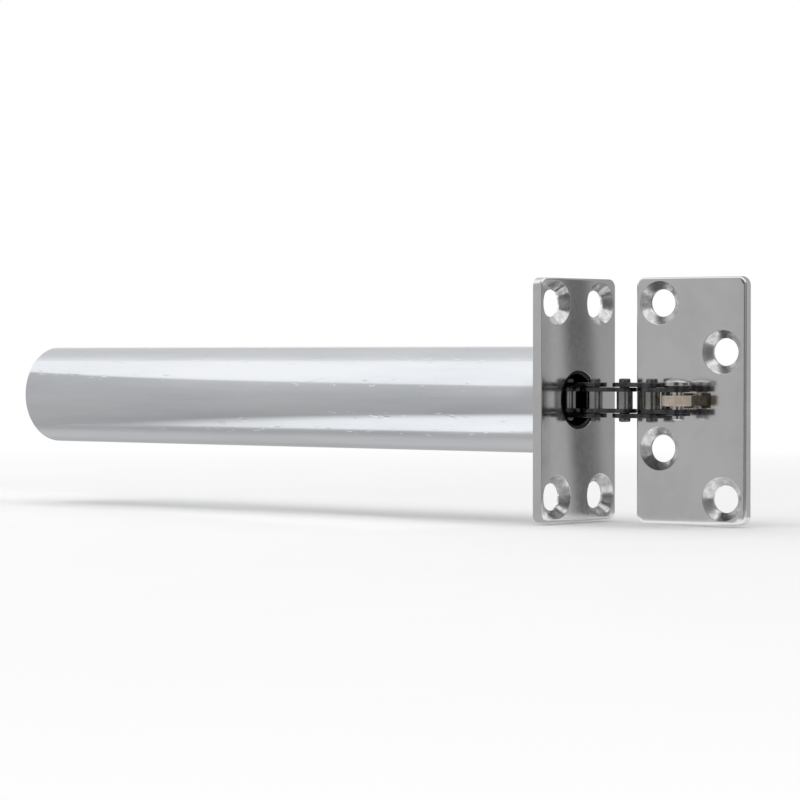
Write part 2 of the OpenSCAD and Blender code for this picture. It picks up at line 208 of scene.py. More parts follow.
def rounded_corner(corner: Point, before: Point, after: Point, radius: float, steps: int = 4) -> Loop:
    """Points that round one corner of a profile.

    Args:
        corner: the sharp corner.
        before: a point on the stretch that comes in.
        after: a point on the stretch that goes out.
        radius: distance from the corner at which the rounding starts and ends.
        steps: stretches in the rounding.

    Returns:
        The points from the incoming to the outgoing stretch.
    """
    here = Vector(corner)
    start = here + (Vector(before) - here).normalized() * radius
    end = here + (Vector(after) - here).normalized() * radius
    points: Loop = []
    for k in range(steps + 1):
        t = k / steps
        points.append(tuple(start * (1 - t) ** 2 + here * (2 * t * (1 - t)) + end * t ** 2))
    return points


def soft_profile(points: Sequence[Point], radii: Sequence[float]) -> Loop:
    """Closed profile whose corners are rounded.

    Args:
        points: the sharp corners.
        radii: rounding of each corner; 0 keeps it sharp.

    Returns:
        The rounded profile.
    """
    last = len(points) - 1
    made: Loop = []
    for k, (corner, radius) in enumerate(zip(points, radii)):
        if radius <= 0:
            made.append(corner)
        else:
            made += rounded_corner(corner, points[k - 1], points[k + 1 if k < last else 0], radius)
    return made


# Placements


def along_x() -> Matrix:
    """Placement whose own Z runs along +X."""
    return Matrix.Rotation(math.pi / 2, 4, "Y")


def upright(at: Vector, angle: float = 0.0) -> Matrix:
    """Placement at a pin of the chain, turned about the pin."""
    return Matrix.Translation((at.x, at.y, 0)) @ Matrix.Rotation(angle, 4, "Z")


def facing(out: Vector, back: Vector) -> Matrix:
    """Placement of an upright plate.

    Args:
        out: level direction that the plate faces.
        back: middle of its back.

    Returns:
        A frame with the plate's width, height and thickness as its axes.
    """
    return Matrix((
        (-out.y, 0, out.x, back.x),
        (out.x, 0, out.y, back.y),
        (0, 1, 0, back.z),
        (0, 0, 0, 1)))


# Mesh building


def add_ring(bm: Mesh, ring: Ring, place: Matrix) -> list[Vert]:
    """Adds the points of one ring to a mesh."""
    loop, height = ring
    return [bm.verts.new(place @ Vector((x, y, height))) for x, y in loop]


def add_wall(bm: Mesh, rings: Sequence[list[Vert]]) -> None:
    """Joins rings of equal count, each to the next. A ring may be a single point, the tip of a fan.

    Args:
        bm: mesh to add to.
        rings: points of each ring, in order.
    """
    for low, high in zip(rings, rings[1:]):
        count = max(len(low), len(high))
        for k in range(count):
            m = (k + 1) % count
            if len(low) == 1:
                bm.faces.new((low[0], high[m], high[k]))
            elif len(high) == 1:
                bm.faces.new((low[k], low[m], high[0]))
            else:
                bm.faces.new((low[k], low[m], high[m], high[k]))


def add_cover(bm: Mesh, loops: Iterable[list[Vert]], normal: Vector) -> None:
    """Fills the flat face between an outer ring and the rings of its holes.

    Args:
        bm: mesh to add to.
        loops: points of the outer ring and of each hole.
        normal: direction that the face looks in.
    """
    edges = [bm.edges.get((loop[k - 1], vert)) for loop in loops for k, vert in enumerate(loop)]
    bmesh.ops.triangle_fill(bm, use_beauty=True, use_dissolve=False, edges=edges, normal=normal)


def edge_rings(outline: Loop, low: float, high: float, low_round: float, high_round: float,
               steps: int) -> list[Ring]:
    """Rings up the side of a slab whose edges are rounded.

    Args:
        outline: outline of the slab.
        low: height of the lower face.
        high: height of the upper face.
        low_round: radius of the lower edge.
        high_round: radius of the upper edge.
        steps: stretches in each rounding.

    Returns:
        Rings from the lower face to the upper face.
    """
    turns = [math.pi / 2 * k / steps for k in range(steps + 1)]
    rings: list[Ring] = []
    for a in turns:
        rings.append((moved(outline, low_round * (1 - math.sin(a))), low + low_round * (1 - math.cos(a))))
    for a in turns:
        rings.append((moved(outline, high_round * (1 - math.cos(a))), high - high_round * (1 - math.sin(a))))
    return rings


def round_hole(centre: Point, profile: Sequence[Point], count: int) -> list[Ring]:
    """Rings of a round hole from its top to its bottom.

    Args:
        centre: middle of the hole.
        profile: radius and height of each ring.
        count: points in each ring.

    Returns:
        The rings.
    """
    return [(circle(radius, count, centre), height) for radius, height in profile]


def add_slab(bm: Mesh, sides: list[Ring], holes: Sequence[list[Ring]], place: Matrix) -> None:
    """Adds a closed slab with holes that go right through.

    Args:
        bm: mesh to add to.
        sides: rings up its outer side, from bottom to top.
        holes: rings of each hole, from top to bottom.
        place: where the slab goes.
    """
    wall = [add_ring(bm, ring, place) for ring in sides]
    add_wall(bm, wall)
    bores = []
    for rings in holes:
        bore = [add_ring(bm, ring, place) for ring in rings]
        add_wall(bm, bore)
        bores.append(bore)
    up = (place.to_3x3() @ Vector((0, 0, 1))).normalized()
    add_cover(bm, [wall[-1]] + [bore[0] for bore in bores], up)
    add_cover(bm, [wall[0]] + [bore[-1] for bore in bores], -up)


def add_lathe(bm: Mesh, profile: Sequence[Point], count: int, place: Matrix, closed: bool = False) -> None:
    """Adds a turned solid.

    Args:
        bm: mesh to add to.
        profile: radius and height of each ring; a radius of 0 is a point on the axis.
        count: points in each ring.
        place: where the solid goes, turned about its own Z.
        closed: whether the profile's last point joins its first, as in a ring.
    """
    rings = []
    for radius, height in profile:
        loop = circle(radius, count) if radius > 0 else [(0.0, 0.0)]
        rings.append(add_ring(bm, (loop, height), place))
    if closed:
        rings.append(rings[0])
    add_wall(bm, rings)


def turned(profile: Sequence[Point], count: int, place: Matrix, closed: bool = False) -> Mesh:
    """Mesh of a single turned solid.

    Args:
        profile: radius and height of each ring.
        count: points in each ring.
        place: where the solid goes.
        closed: whether the profile's last point joins its first.

    Returns:
        The new mesh.
    """
    bm = bmesh.new()
    add_lathe(bm, profile, count, place, closed)
    return bm


def mark_faces(bm: Mesh, place: Matrix, inside: Callable[[Vector], bool]) -> None:
    """Gives some faces of a mesh the second material.

    Args:
        bm: the mesh.
        place: where its own frame lies.
        inside: tells for a face's middle, in that frame, whether the face is one of them.
    """
    back = place.inverted()
    for face in bm.faces:
        if inside(back @ face.calc_center_median()):
            face.material_index = 1


# Pieces and the record


def joint(name: str) -> dict:
    """Joint of the record, by its name."""
    return next(j for j in frame["joints"] if j["name"] == name)


def mount(name: str) -> dict:
    """Mount of the record, by its name."""
    return next(m for m in frame["record"]["mounts"] if m["name"] == name)


def show(name: str, data: bpy.types.ID) -> bpy.types.Object:
    """Puts an object into the scene.

    Args:
        name: name of the object.
        data: its mesh, camera or lamp.

    Returns:
        The new object.
    """
    thing = bpy.data.objects.new(name, data)
    bpy.context.scene.collection.objects.link(thing)
    return thing


def make_piece(node: str, made: str, bm: Mesh, finish: "Finish", body: str,
               second: Optional["Finish"] = None) -> bpy.types.Object:
    """Turns a mesh into a shown piece that stands for a CAD node and moves with a body.

    Args:
        node: CAD node that it stands for.
        made: how it is made, the last word of its name.
        bm: its mesh, which is used up.
        finish: its material.
        body: CAD body that it rides on.
        second: material of its marked faces.

    Returns:
        The new object.
    """
    name = f"{node}_{made}"
    bmesh.ops.recalc_face_normals(bm, faces=bm.faces)
    mesh = bpy.data.meshes.new(name)
    bm.to_mesh(mesh)
    bm.free()
    mesh.shade_smooth()
    mesh.set_sharp_from_angle(angle=SHARP_ANGLE)
    mesh.materials.append(finish.material())
    if second is not None:
        mesh.materials.append(second.material())
    piece = show(name, mesh)
    even = piece.modifiers.new("even_normals", "WEIGHTED_NORMAL")
    even.mode = "FACE_AREA"
    even.keep_sharp = True
    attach(piece, body)
    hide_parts(node)
    log.info("piece %s on %s: %d faces", name, body, len(mesh.polygons))
    return piece


# Finishes


class NodeGraph:
    """Small builder for the nodes of a material or of the world."""

    def __init__(self, tree: bpy.types.NodeTree) -> None:
        """Empties the tree that it builds in."""
        self.tree = tree
        tree.nodes.clear()

    def node(self, kind: str, **values: object) -> bpy.types.Node:
        """Adds a node.

        Args:
            kind: its type, without the leading ShaderNode.
            values: constants of its inputs; an underscore stands for a space.

        Returns:
            The new node.
        """
        node = self.tree.nodes.new(f"ShaderNode{kind}")
        for name, value in values.items():
            node.inputs[name.replace("_", " ").title()].default_value = value
        return node

    def link(self, value: Socket, node: bpy.types.Node, name: str | int) -> None:
        """Links a value to an input of a node."""
        self.tree.links.new(value, node.inputs[name])

    def join(self, operation: str, first: Socket, second: Socket) -> Socket:
        """Works out a value from two others.

        Args:
            operation: name of the operation, such as MULTIPLY.
            first: first value.
            second: second value.

        Returns:
            The result.
        """
        node = self.node("Math")
        node.operation = operation
        self.link(first, node, 0)
        self.link(second, node, 1)
        return node.outputs["Value"]

    def mix(self, share: Socket, first: Socket, second: Socket) -> Socket:
        """Mixes two shaders.

        Args:
            share: share of the second shader.
            first: first shader.
            second: second shader.

        Returns:
            The mixed shader.
        """
        node = self.node("MixShader")
        self.link(share, node, "Fac")
        self.link(first, node, 1)
        self.link(second, node, 2)
        return node.outputs["Shader"]

    def seen_directly(self) -> Socket:
        """Value that is 1 for rays of the camera, of gloss and of glass, and 0 for the rest.

        Returns:
            The value.
        """
        path = self.node("LightPath")
        total, *others = [path.outputs[kind.value] for kind in RayKind]
        for other in others:
            total = self.join("MAXIMUM", total, other)
        return total


class MaterialGraph(NodeGraph):
    """Builder for a material around one Principled shader."""

    def __init__(self, name: str, **values: float) -> None:
        """Makes the material.

        Args:
            name: name of the material.
            values: constants of the shader's inputs; an underscore stands for a space.
        """
        self.material = bpy.data.materials.new(name)
        self.material.use_nodes = True
        super().__init__(self.material.node_tree)
        self.shader = self.node("BsdfPrincipled", **values)
        self.output = self.node("OutputMaterial")
        self.link(self.shader.outputs["BSDF"], self.output, "Surface")
        self.coordinates = self.node("TexCoord")

    def feed(self, name: str, value: Socket) -> None:
        """Links a value to an input of the shader."""
        self.link(value, self.shader, name)

    def noise(self, scale: float, detail: float = 3.0, rough: float = 0.5,
              stretch: Point3 = (1.0, 1.0, 1.0)) -> Socket:
        """Cloudy noise over the object's own coordinates.

        Args:
            scale: features to a metre.
            detail: layers of finer noise.
            rough: weight of the finer layers.
            stretch: scale along each axis.

        Returns:
            The noise's value.
        """
        mapping = self.node("Mapping", scale=stretch)
        self.link(self.coordinates.outputs["Object"], mapping, "Vector")
        texture = self.node("TexNoise", scale=scale, detail=detail, roughness=rough)
        self.link(mapping.outputs["Vector"], texture, "Vector")
        return texture.outputs["Fac"]

    def span(self, value: Socket, low: float, high: float, start: float = 0.3, end: float = 0.7) -> Socket:
        """Maps a value to another range.

        Args:
            value: the value.
            low: result where the value is at the start.
            high: result where the value is at the end.
            start: where the mapped range starts.
            end: where the mapped range ends.

        Returns:
            The mapped value.
        """
        node = self.node("MapRange", from_min=start, from_max=end, to_min=low, to_max=high)
        self.link(value, node, "Value")
        return node.outputs["Result"]

    def blend(self, value: Socket, stops: Sequence[tuple[float, Colour]]) -> Socket:
        """Colours a value.

        Args:
            value: value from 0 to 1.
            stops: places and their colours.

        Returns:
            The colour.
        """
        ramp = self.node("ValToRGB")
        elements = ramp.color_ramp.elements
        while len(elements) < len(stops):
            elements.new(0.5)
        for element, (place, colour) in zip(elements, stops):
            element.position = place
            element.color = (*colour, 1.0)
        self.link(value, ramp, "Fac")
        return ramp.outputs["Color"]

    def relief(self, height: Socket, depth: float, strength: float, under: Optional[Socket] = None) -> Socket:
        """Bump from a height.

        Args:
            height: value from 0 to 1.
            depth: height in metres that a value of 1 stands for.
            strength: share of the bump that is used.
            under: another bump that this one lies on.

        Returns:
            The bent normal.
        """
        node = self.node("Bump", distance=depth, strength=strength)
        self.link(height, node, "Height")
        if under is not None:
            self.link(under, node, "Normal")
        return node.outputs["Normal"]


@dataclass(frozen=True)
class Finish(ABC):
    """A surface finish that makes one material and keeps it."""

    name: str

    def material(self) -> bpy.types.Material:
        """The finish's material, made at first use."""
        known = bpy.data.materials.get(self.name)
        return known if known else self.make()

    @abstractmethod
    def make(self) -> bpy.types.Material:
        """Builds the material."""


@dataclass(frozen=True)
class PolishedChrome(Finish):
    """Bright plate over polished metal: faint waves, wiping marks and hairlines."""

    dull: Colour = (0.83, 0.83, 0.83)
    bright: Colour = (0.91, 0.91, 0.91)
    smooth: float = 0.09
    wiped: float = 0.17
    wave_depth: float = 0.02 * MM
    hair_depth: float = 0.002 * MM

    def make(self) -> bpy.types.Material:
        """Builds the material.

        Returns:
            The new material.
        """
        graph = MaterialGraph(self.name, metallic=1.0)
        wipes = graph.noise(90, 4, 0.6)
        hairs = graph.noise(900, 2, 0.5, (0.05, 1.0, 1.0))
        waves = graph.noise(160, 1, 0.3)
        graph.feed("Base Color", graph.blend(wipes, [(0.3, self.dull), (0.62, self.bright)]))
        spread = graph.join("MULTIPLY", wipes, graph.span(hairs, 0.8, 1.25))
        graph.feed("Roughness", graph.span(spread, self.smooth, self.wiped))
        waved = graph.relief(waves, self.wave_depth, 0.35)
        graph.feed("Normal", graph.relief(hairs, self.hair_depth, 0.25, waved))
        return graph.material


@dataclass(frozen=True)
class CutChrome(Finish):
    """Plate over a drilled cone: dull and bright patches with the cutter's chatter."""

    dull: Colour = (0.60, 0.60, 0.60)
    bright: Colour = (0.80, 0.80, 0.80)
    smooth: float = 0.14
    rough: float = 0.28
    patch_depth: float = 0.04 * MM
    chatter_depth: float = 0.012 * MM

    def make(self) -> bpy.types.Material:
        """Builds the material.

        Returns:
            The new material.
        """
        graph = MaterialGraph(self.name, metallic=1.0)
        patches = graph.noise(800, 4, 0.6)
        cuts = graph.noise(2600, 3, 0.6)
        graph.feed("Base Color", graph.blend(patches, [(0.36, self.dull), (0.6, self.bright)]))
        graph.feed("Roughness", graph.span(patches, self.rough, self.smooth))
        uneven = graph.relief(patches, self.patch_depth, 0.5)
        graph.feed("Normal", graph.relief(cuts, self.chatter_depth, 0.7, uneven))
        return graph.material


@dataclass(frozen=True)
class SatinPlating(Finish):
    """Satin zinc plate on drawn steel: fine grain, drawing streaks along the tube and a few small nicks."""

    dull: Colour = (0.785, 0.808, 0.845)
    bright: Colour = (0.875, 0.895, 0.925)
    smooth: float = 0.11
    rough: float = 0.19
    streak_depth: float = 0.004 * MM
    nick_depth: float = 0.03 * MM
    grain_depth: float = 0.003 * MM

    def make(self) -> bpy.types.Material:
        """Builds the material.

        Returns:
            The new material.
        """
        graph = MaterialGraph(self.name, metallic=1.0)
        clouds = graph.noise(150, 5, 0.6, (0.1, 1.0, 1.0))
        streaks = graph.noise(1400, 3, 0.6, (0.015, 1.0, 1.0))
        nicks = graph.span(graph.noise(800, 2, 0.5, (0.4, 1.0, 1.0)), 0.0, 1.0, 0.64, 0.72)
        grain = graph.noise(5200, 2, 0.5)
        graph.feed("Base Color", graph.blend(clouds, [(0.3, self.dull), (0.6, self.bright)]))
        spread = graph.join("ADD", clouds, streaks)
        graph.feed("Roughness", graph.span(spread, self.smooth, self.rough, 0.7, 1.3))
        drawn = graph.relief(streaks, self.streak_depth, 0.4)
        nicked = graph.relief(nicks, self.nick_depth, 0.8, drawn)
        graph.feed("Normal", graph.relief(grain, self.grain_depth, 0.5, nicked))
        return graph.material


@dataclass(frozen=True)
class DarkSteel(Finish):
    """Blackened or oiled steel: smoky colour, oily patches and a fine rolled grain."""

    dark: Colour = (0.055, 0.055, 0.06)
    light: Colour = (0.16, 0.16, 0.165)
    smooth: float = 0.22
    rough: float = 0.42
    pit_depth: float = 0.01 * MM
    grain_depth: float = 0.004 * MM

    def make(self) -> bpy.types.Material:
        """Builds the material.

        Returns:
            The new material.
        """
        graph = MaterialGraph(self.name, metallic=1.0)
        smoke = graph.noise(420, 5, 0.65)
        oil = graph.noise(1500, 3, 0.55)
        grain = graph.noise(7000, 2, 0.5)
        graph.feed("Base Color", graph.blend(smoke, [(0.32, self.dark), (0.7, self.light)]))
        graph.feed("Roughness", graph.span(oil, self.smooth, self.rough))
        pits = graph.relief(oil, self.pit_depth, 0.35)
        graph.feed("Normal", graph.relief(grain, self.grain_depth, 0.4, pits))
        return graph.material


@dataclass(frozen=True)
class DullBrass(Finish):
    """Yellow-passivated pressed metal: tan with grey wear and a stamped grain."""

    worn: Colour = (0.52, 0.47, 0.41)
    tan: Colour = (0.68, 0.575, 0.465)
    smooth: float = 0.36
    rough: float = 0.52
    wear_depth: float = 0.012 * MM
    grain_depth: float = 0.004 * MM

    def make(self) -> bpy.types.Material:
        """Builds the material.

        Returns:
            The new material.
        """
        graph = MaterialGraph(self.name, metallic=0.45)
        wear = graph.noise(600, 5, 0.6)
        grain = graph.noise(4200, 3, 0.5)
        graph.feed("Base Color", graph.blend(wear, [(0.34, self.worn), (0.56, self.tan)]))
        graph.feed("Roughness", graph.span(wear, self.rough, self.smooth))
        pressed = graph.relief(wear, self.wear_depth, 0.4)
        graph.feed("Normal", graph.relief(grain, self.grain_depth, 0.4, pressed))
        return graph.material


@dataclass(frozen=True)
class SoftPolymer(Finish):
    """Rubber or nylon: mottled colour and a moulded skin."""

    dark: Colour = (0.02, 0.02, 0.02)
    light: Colour = (0.045, 0.045, 0.045)
    smooth: float = 0.55
    rough: float = 0.75
    skin_depth: float = 0.01 * MM

    def make(self) -> bpy.types.Material:
        """Builds the material.

        Returns:
            The new material.
        """
        graph = MaterialGraph(self.name)
        mottle = graph.noise(500, 4, 0.6)
        skin = graph.noise(3800, 3, 0.5)
        graph.feed("Base Color", graph.blend(mottle, [(0.35, self.dark), (0.65, self.light)]))
        graph.feed("Roughness", graph.span(mottle, self.smooth, self.rough))
        graph.feed("Normal", graph.relief(skin, self.skin_depth, 0.4))
        return graph.material


@dataclass(frozen=True)
class Finishes:
    """The finishes of the closer's pieces."""

    chrome: Finish = PolishedChrome("polished_chrome")
    sink: Finish = CutChrome("cut_chrome")
    plating: Finish = SatinPlating("satin_zinc")
    pin_plating: Finish = SatinPlating("pin_zinc", (0.55, 0.55, 0.545), (0.75, 0.75, 0.74), 0.12, 0.24)
    bush: Finish = DarkSteel("mouth_black", (0.03, 0.03, 0.032), (0.075, 0.075, 0.08), 0.28, 0.45)
    plate: Finish = DarkSteel("chain_oiled")
    roller: Finish = DarkSteel("bush_ground", (0.32, 0.32, 0.31), (0.46, 0.46, 0.445), 0.14, 0.26, 0.004 * MM)
    rivet: Finish = DarkSteel("rivet_steel", (0.13, 0.13, 0.135), (0.27, 0.27, 0.275), 0.2, 0.36)
    tongue: Finish = DullBrass("tongue_passivated")
    # painted shade: a dark brass that stands in for the shadow on the tongue's head behind the plate and on its
    # side wall towards -Y
    tongue_painted_shade: Finish = DullBrass("tongue_painted_shade", (0.07, 0.06, 0.043), (0.17, 0.142, 0.10))
    spring: Finish = DarkSteel("spring_wire", (0.2, 0.2, 0.205), (0.36, 0.36, 0.37), 0.25, 0.4)
    inner: Finish = SatinPlating("turned_steel", (0.42, 0.42, 0.43), (0.58, 0.58, 0.59))
    rubber: Finish = SoftPolymer("buffer_rubber")
    nylon: Finish = SoftPolymer("ring_nylon", (0.74, 0.72, 0.66), (0.82, 0.81, 0.76), 0.4, 0.55)


# Sub-assemblies


@dataclass
class ScrewPlate:
    """A chromed plate with countersunk holes, in its own frame: width, height, and thickness outwards."""

    node: str
    body: str
    width: float
    height: float
    thickness: float
    screws: list[Point]
    screw_radius: float
    opening: list[Ring]
    place: Matrix
    corner: float = 2.0 * MM
    front_round: float = 0.5 * MM
    back_round: float = 0.12 * MM
    edge_steps: int = 6
    sink_radius: float = 5.1 * MM
    sink_facets: int = 72
    lip: float = 0.08 * MM
    lip_steps: int = 3
    tool_rings: int = 7
    tool_mark: float = 0.035 * MM

    def sink_profile(self) -> Loop:
        """Profile of a countersunk hole with the cutter's rings on its cone.

        Returns:
            Radius and height from the plate's face to its back.
        """
        top = self.thickness
        depth = self.sink_radius - self.screw_radius
        profile = rounded_corner(
            (self.sink_radius, top), (self.sink_radius + self.lip, top),
            (self.screw_radius, top - depth), self.lip, self.lip_steps)
        stretches = 2 * self.tool_rings
        slope = (depth - self.lip) / stretches
        for k in range(1, stretches):
            fall = self.lip + k * slope
            mark = self.tool_mark if k % 2 else 0.0
            profile.append((self.sink_radius - fall + mark, top - fall))
        profile.append((self.screw_radius, top - depth))
        profile.append((self.screw_radius, self.back_round))
        profile.append((self.screw_radius + self.back_round, 0.0))
        return profile

    def in_sink(self, point: Vector) -> bool:
        """Whether a point lies on a countersink.

        Args:
            point: a point in the plate's own frame.

        Returns:
            True on a countersink.
        """
        cone_foot = self.thickness - self.sink_radius + self.screw_radius
        near = min(math.dist(point.xy, screw) for screw in self.screws)
        return near < self.sink_radius and point.z > cone_foot

    def build(self, finish: Finish, sink_finish: Finish) -> None:
        """Makes the plate.

        Args:
            finish: its material.
            sink_finish: material of the countersinks.
        """
        outline = rounded_rectangle(self.width, self.height, self.corner)
        sides = edge_rings(outline, 0.0, self.thickness, self.back_round, self.front_round, self.edge_steps)
        holes = [round_hole(centre, self.sink_profile(), self.sink_facets) for centre in self.screws]
        bm = bmesh.new()
        add_slab(bm, sides, holes + [self.opening], self.place)
        mark_faces(bm, self.place, self.in_sink)
        make_piece(self.node, "polished", bm, finish, self.body, sink_finish)


@dataclass
class Housing:
    """The tube with its face plate, mouth bush and closed end."""

    finishes: Finishes
    body: str = "housing"
    wall: float = 1.2 * MM
    tube_facets: int = 256
    end_round: float = 0.6 * MM
    lip_depth: float = 0.8 * MM
    lip_width: float = 2.0 * MM
    lip_round: float = 0.25 * MM
    edge_round: float = 0.1 * MM
    turned_facets: int = 128
    cap_chamfer: float = 0.2 * MM
    cap_rings: tuple[float, ...] = (0.86, 0.72, 0.58, 0.44)
    cap_ring_depth: float = 0.02 * MM
    dimple_radius: float = 2.5 * MM
    dimple_rim: float = 0.1 * MM
    dimple_step: float = 0.05 * MM
    mouth_chamfer: float = 0.35 * MM
    mouth_round: float = 0.12 * MM
    flange_round: float = 0.15 * MM
    nose_margin: float = 0.01 * MM
    plate_hole_break: float = 0.04 * MM
    plate_hole_facets: int = 96

    def tube(self) -> None:
        """Makes the tube with its rolled end, open at the plate."""
        low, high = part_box("cylinder_tube")
        radius = high.y
        bore = radius - self.wall
        lip = bore - self.lip_width
        inside = low.x + self.lip_depth
        points = [
            (radius, high.x), (radius, low.x), (lip, low.x), (lip, inside), (bore, inside), (bore, high.x),
        ]
        edge = self.edge_round
        profile = soft_profile(points, [edge, self.end_round, self.lip_round, edge, edge, edge])
        bm = turned(profile, self.tube_facets, along_x(), closed=True)
        make_piece("cylinder_tube", "plated", bm, self.finishes.plating, self.body)

    def cap(self) -> None:
        """Makes the disc that the rolled end holds, with a turned dimple and fine turning steps."""
        low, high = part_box("end_cap")
        radius = high.y
        dimple = self.dimple_radius
        cut = self.cap_chamfer
        profile = [(0.0, high.x), (radius - cut, high.x), (radius, high.x - cut), (radius, low.x)]
        for k, share in enumerate(self.cap_rings):
            profile.append((radius * share, low.x + (self.cap_ring_depth if k % 2 else 0.0)))
        profile += [
            (dimple + self.dimple_rim, low.x), (dimple, low.x + self.dimple_step), (0.0, low.x + dimple / 2),
        ]
        bm = turned(profile, self.turned_facets, along_x())
        make_piece("end_cap", "turned", bm, self.finishes.plating, self.body)

    def mouth(self, nose_radius: float, mouth_radius: float) -> None:
        """Makes the dark bush that lines the mouth.

        Args:
            nose_radius: outside of the bush where it fills the plate's hole.
            mouth_radius: bore that the chain runs through.
        """
        low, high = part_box("guide_bush")
        cut = self.mouth_chamfer
        points = [
            (mouth_radius + cut, low.x), (high.y, low.x), (high.y, 0.0), (nose_radius, 0.0),
            (nose_radius, high.x), (mouth_radius + cut, high.x),
            (mouth_radius, high.x - cut), (mouth_radius, low.x + cut),
        ]
        edge = self.edge_round
        radii = [edge, self.flange_round, edge, 0.0, edge, self.mouth_round, self.mouth_round, edge]
        bm = turned(soft_profile(points, radii), self.turned_facets, along_x(), closed=True)
        make_piece("guide_bush", "blackened", bm, self.finishes.bush, self.body)

    def plate(self, nose_radius: float) -> None:
        """Makes the face plate from its box and its screw pattern.

        Args:
            nose_radius: radius of the hole that the bush fills.
        """
        low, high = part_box("body_plate")
        dims = mount("body_plate_screws")["dims"]
        across = dims["spacing_x_mm"] / 2 * MM
        up = dims["spacing_y_mm"] / 2 * MM
        thickness = high.x - low.x
        broken = self.plate_hole_break
        rim = [(nose_radius + broken, thickness), (nose_radius, thickness - broken), (nose_radius, 0.0)]
        plate = ScrewPlate(
            "body_plate", self.body, high.y - low.y, high.z - low.z, thickness,
            [(x * across, z * up) for x in (-1, 1) for z in (-1, 1)],
            dims["hole_r_mm"] * MM, round_hole((0, 0), rim, self.plate_hole_facets),
            facing(Vector((1, 0, 0)), Vector((low.x, 0, 0))))
        plate.build(self.finishes.chrome, self.finishes.sink)

    def bush_radii(self) -> Point:
        """Reads the bush's radii from the solid's corners.

        Returns:
            Outside of the bush's nose, and its bore.
        """
        corners = [vertex.co for vertex in frame["nodes"]["guide_bush"].data.vertices]
        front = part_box("guide_bush")[1].x - self.nose_margin
        nose = max(math.hypot(corner.y, corner.z) for corner in corners if corner.x > front)
        return nose, min(math.hypot(corner.y, corner.z) for corner in corners)

    def build(self) -> None:
        """Makes every piece of the housing."""
        nose_radius, mouth_radius = self.bush_radii()
        self.tube()
        self.cap()
        self.mouth(nose_radius, mouth_radius)
        self.plate(nose_radius)


